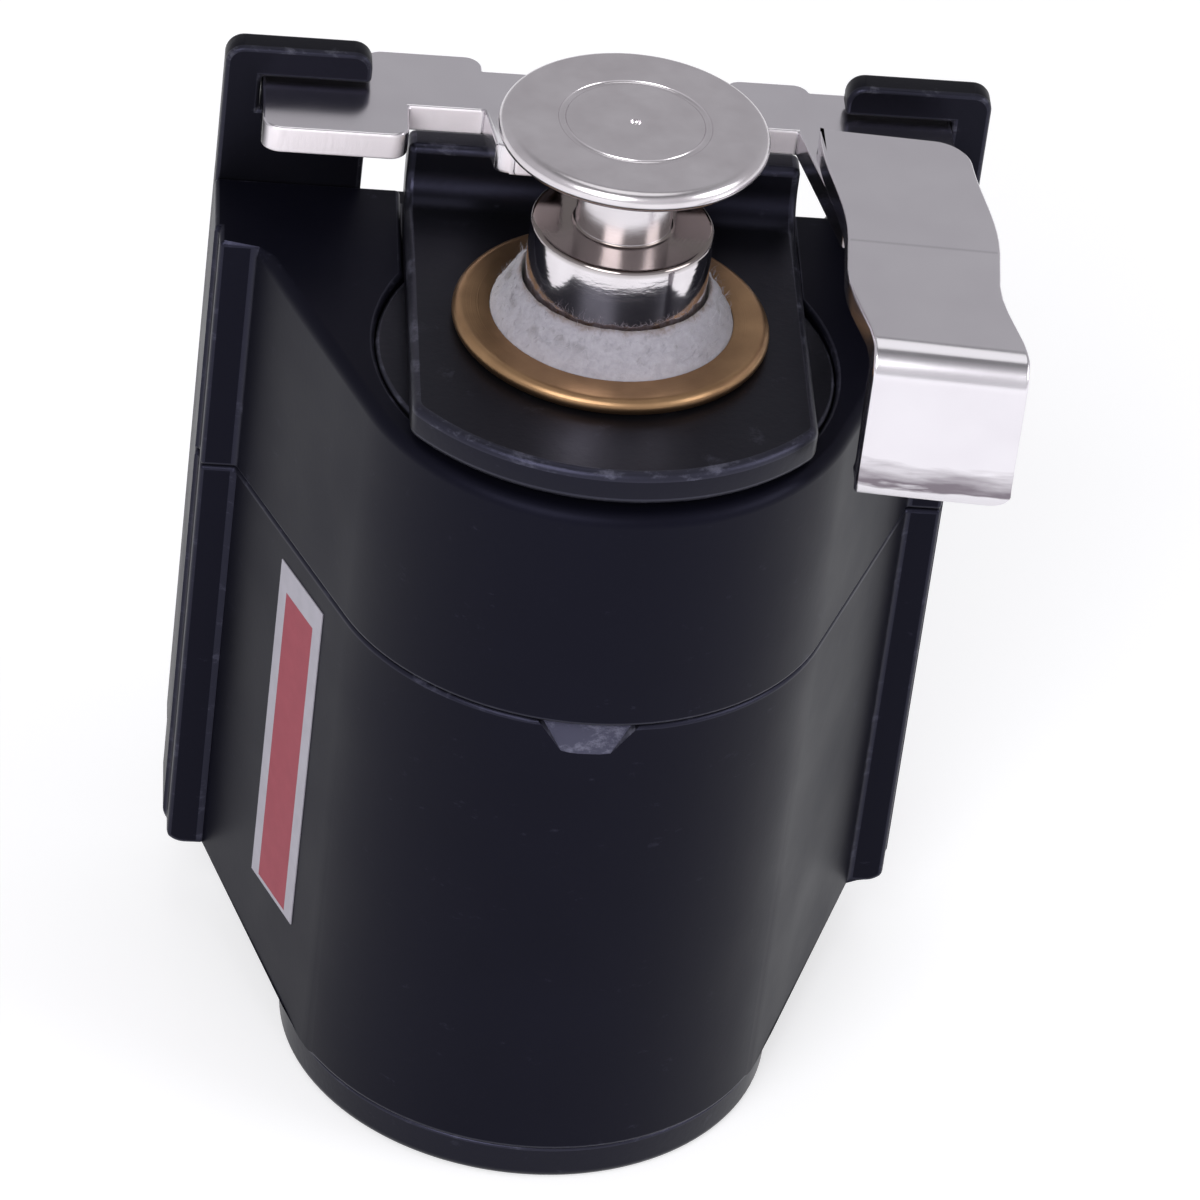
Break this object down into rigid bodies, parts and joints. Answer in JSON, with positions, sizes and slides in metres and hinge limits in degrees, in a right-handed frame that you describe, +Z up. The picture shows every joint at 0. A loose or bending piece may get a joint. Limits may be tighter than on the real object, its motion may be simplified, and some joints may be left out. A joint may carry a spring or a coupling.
{
  "type": "fuel shutoff solenoid",
  "caption": "Black moulded pull solenoid whose headed plunger swings a stamped lever with a hanging finger to shut an engine's fuel rack.",
  "frame": {"origin": "centre of the base plate's underside, on the plunger axis", "axes": "+Z up along the plunger axis, +Y towards the mounting face, +X to the side of the lever arm"},
  "size_m": [0.064, 0.0486, 0.0929],
  "materials": {
    "black_plastic": "satin black moulded plastic",
    "black_bracket": "satin black coating",
    "black_steel": "worn black coating",
    "steel": "plain steel",
    "bright_nickel": "polished nickel plating",
    "plated_sheet": "satin nickel plating",
    "brass": "turned brass",
    "felt": "white pressed felt",
    "rubber": "matt black rubber",
    "bobbin_plastic": "matt",
    "copper": "enamelled copper wire",
    "tape": "insulating tape",
    "fibre": "pressed fibre"
  },
  "bodies": {
    "housing": {"upper_housing": "black_plastic", "lower_housing": "black_plastic", "rear_bracket": "black_bracket", "bracket_screws": "steel", "mount_inserts": "brass", "wire_grommet": "rubber", "base_plate": "black_steel", "base_seal": "rubber", "pole_plate": "black_steel", "pole_strap": "black_steel", "yoke_tube": "steel", "fixed_core": "steel", "stop_ring": "rubber", "coil_bobbin": "bobbin_plastic", "coil_winding": "copper", "winding_tape": "tape", "coil_washer": "fibre", "guide_tube": "brass", "felt_ring": "felt", "return_spring": "steel"},
    "plunger": {"plunger": "bright_nickel", "plunger_head": "bright_nickel"},
    "lever": {"lever": "plated_sheet", "lever_arm": "plated_sheet"}
  },
  "joints": [
    {"name": "plunger_slide", "type": "slide", "parent": "housing", "child": "plunger", "axis": [0, 0, -1], "range_m": [0, 0.006], "stiffness_N_per_m": 600, "springref_m": -0.006, "deforming": ["return_spring"]},
    {"name": "lever_pivot", "type": "hinge", "parent": "housing", "child": "lever", "pos_m": [0, 0.02255, 0.0799], "axis": [1, 0, 0], "range_deg": [0, 8]}
  ],
  "couplings": [
    {"joint": "lever_pivot", "follows": "plunger_slide", "rad_per_m": 23.269}
  ]
}
